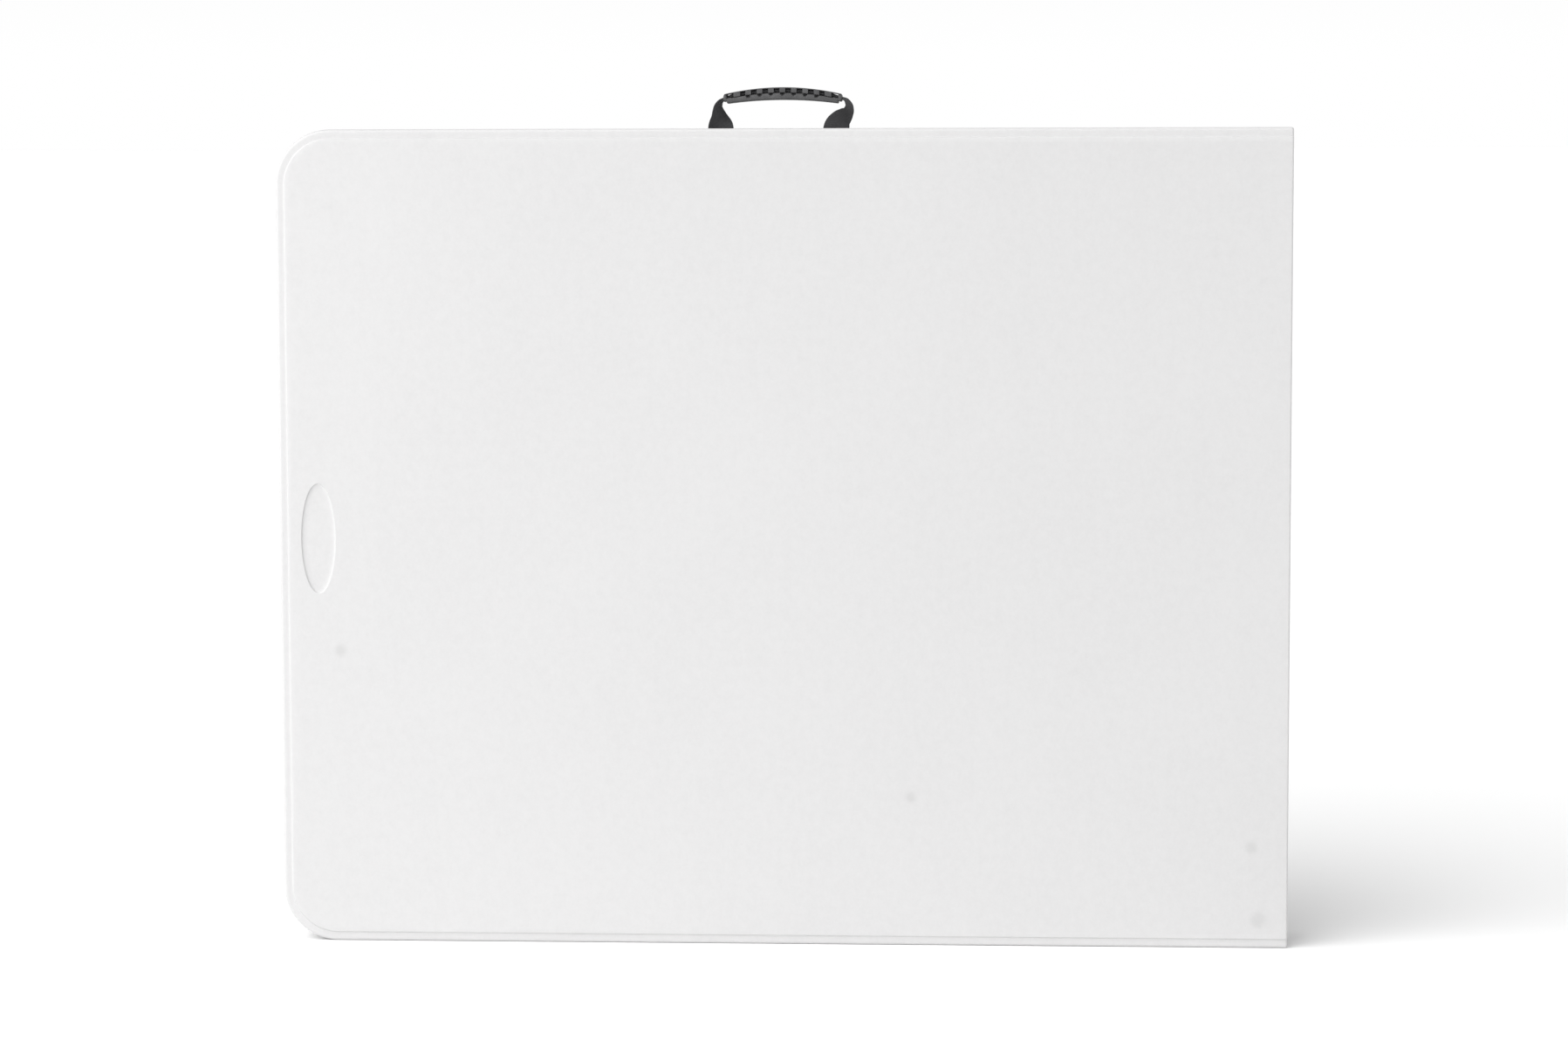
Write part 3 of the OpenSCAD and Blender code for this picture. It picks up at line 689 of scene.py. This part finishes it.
def layFloor():
    reach = studio["reach"]
    mesh = bpy.data.meshes.new("floor")
    corners = [(-reach, -reach, 0), (reach, -reach, 0), (reach, reach, 0), (-reach, reach, 0)]
    mesh.from_pydata(corners, [], [(0, 1, 2, 3)])
    floor = bpy.data.objects.new("floor", mesh)
    bpy.context.scene.collection.objects.link(floor)
    mesh.materials.append(Finish("paleFloor").set(Base_Color=grey(studio["floor"]), Roughness=0.9))


def addLamp(name, kind, settings, place, aim):
    data = bpy.data.lights.new(name, kind)
    for setting, value in settings.items():
        setattr(data, setting, value)
    lamp = bpy.data.objects.new(name, data)
    bpy.context.scene.collection.objects.link(lamp)
    pointAt(lamp, place, aim)


def setLights():
    sun = {"energy": sunLight["strength"], "angle": math.radians(sunLight["softness"])}
    addLamp("windowLight", "SUN", sun, sunLight["from"], (0, 0, 0))
    side = {"shape": "DISK", "size": sideLight["size"], "energy": sideLight["power"]}
    addLamp("sideLight", "AREA", side, sideLight["place"], sideLight["aim"])

    # white round the horizon, dimmer overhead
    world = bpy.data.worlds.new("paleRoom")
    bpy.context.scene.world = world
    world.use_nodes = True
    sky = NodeSet(world.node_tree)
    direction = sky.node("ShaderNodeTexCoord", output="Generated")
    height = sky.node("ShaderNodeSeparateXYZ", {}, {0: direction}, output="Z")
    level = sky.node("ShaderNodeMapRange", {}, {
        "Value": height, "From Min": studio["skyFrom"], "From Max": studio["skyTurn"],
        "To Min": studio["horizon"], "To Max": studio["zenith"]})
    background = sky.tree.nodes["Background"]
    sky.feed(background.inputs["Strength"], level)
    sky.feed(background.inputs["Color"], (1, 1, 1, 1))


def setCamera():
    data = bpy.data.cameras.new("viewCamera")
    data.lens = camera["lens"]
    data.sensor_width = camera["sensor"]
    view = bpy.data.objects.new("viewCamera", data)
    bpy.context.scene.collection.objects.link(view)
    view.location = camera["place"]
    yaw, pitch, roll = (math.radians(camera[k]) for k in ("yaw", "pitch", "roll"))
    forward = Vector((math.sin(yaw) * math.cos(pitch), math.cos(yaw) * math.cos(pitch), math.sin(pitch)))
    view.rotation_euler = forward.to_track_quat("-Z", "Y").to_euler()
    view.rotation_euler.rotate_axis("Z", roll)
    bpy.context.scene.camera = view


layFloor()
setLights()
setCamera()
bpy.context.scene.view_settings.view_transform = "Standard"
print("studio made")
